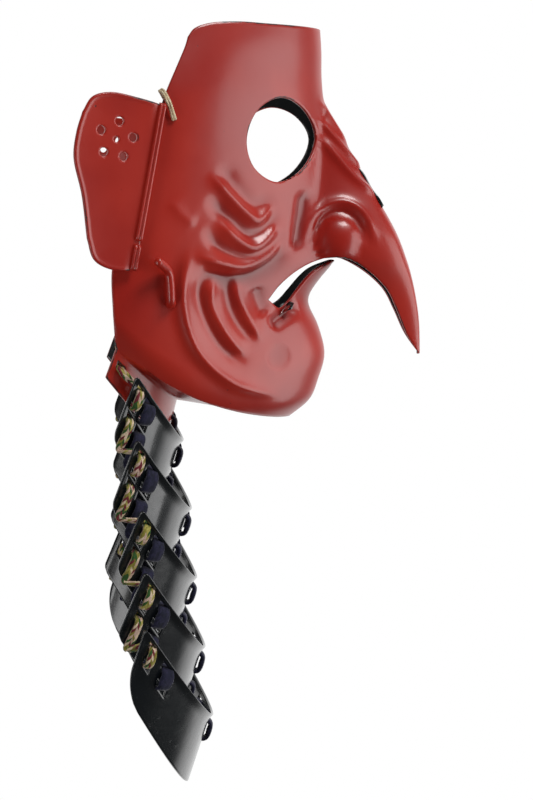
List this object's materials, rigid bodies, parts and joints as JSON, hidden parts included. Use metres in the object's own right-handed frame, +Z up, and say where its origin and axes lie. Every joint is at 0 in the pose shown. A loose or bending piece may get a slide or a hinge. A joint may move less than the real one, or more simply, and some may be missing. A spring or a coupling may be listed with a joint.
{
  "type": "samurai face guard with crow-goblin beak and throat lames",
  "caption": "Full face guard in red lacquer with a hooked beak, eye holes, ear plates and black throat lames hung on braided laces; worn over the face below a helmet.",
  "frame": {"origin": "middle of the hollow for the face, on the mid-plane, level with the eye holes; mount face_seat", "axes": "+Z up along the face, -Y the way the mask looks, -X the wearer's right"},
  "size_m": [0.1864, 0.1888, 0.4135],
  "materials": {
    "red_lacquer": "glossy red lacquer, black lacquer inside and on worn edges",
    "black_lacquer": "glossy black lacquer with a dusty grey sheen",
    "navy_braid": "flat braided silk cord, dark navy",
    "mixed_braid": "flat braided cord in cream, olive, dark green and maroon",
    "cream_cord": "twisted cream cord"
  },
  "bodies": {
    "root": {"mask_shell": "red_lacquer", "ear_plate_left": "red_lacquer", "ear_plate_right": "red_lacquer", "cord_hook_left": "red_lacquer", "cord_hook_right": "red_lacquer", "tie_loop_left": "cream_cord", "tie_loop_right": "cream_cord", "lace_centre_left": "navy_braid", "lace_centre_right": "navy_braid", "lace_side_left": "navy_braid", "lace_side_right": "navy_braid", "lace_edge_left": "mixed_braid", "lace_edge_right": "mixed_braid", "lame_1": "black_lacquer", "lame_2": "black_lacquer", "lame_3": "black_lacquer", "lame_4": "black_lacquer", "lame_5": "black_lacquer"}
  },
  "joints": []
}
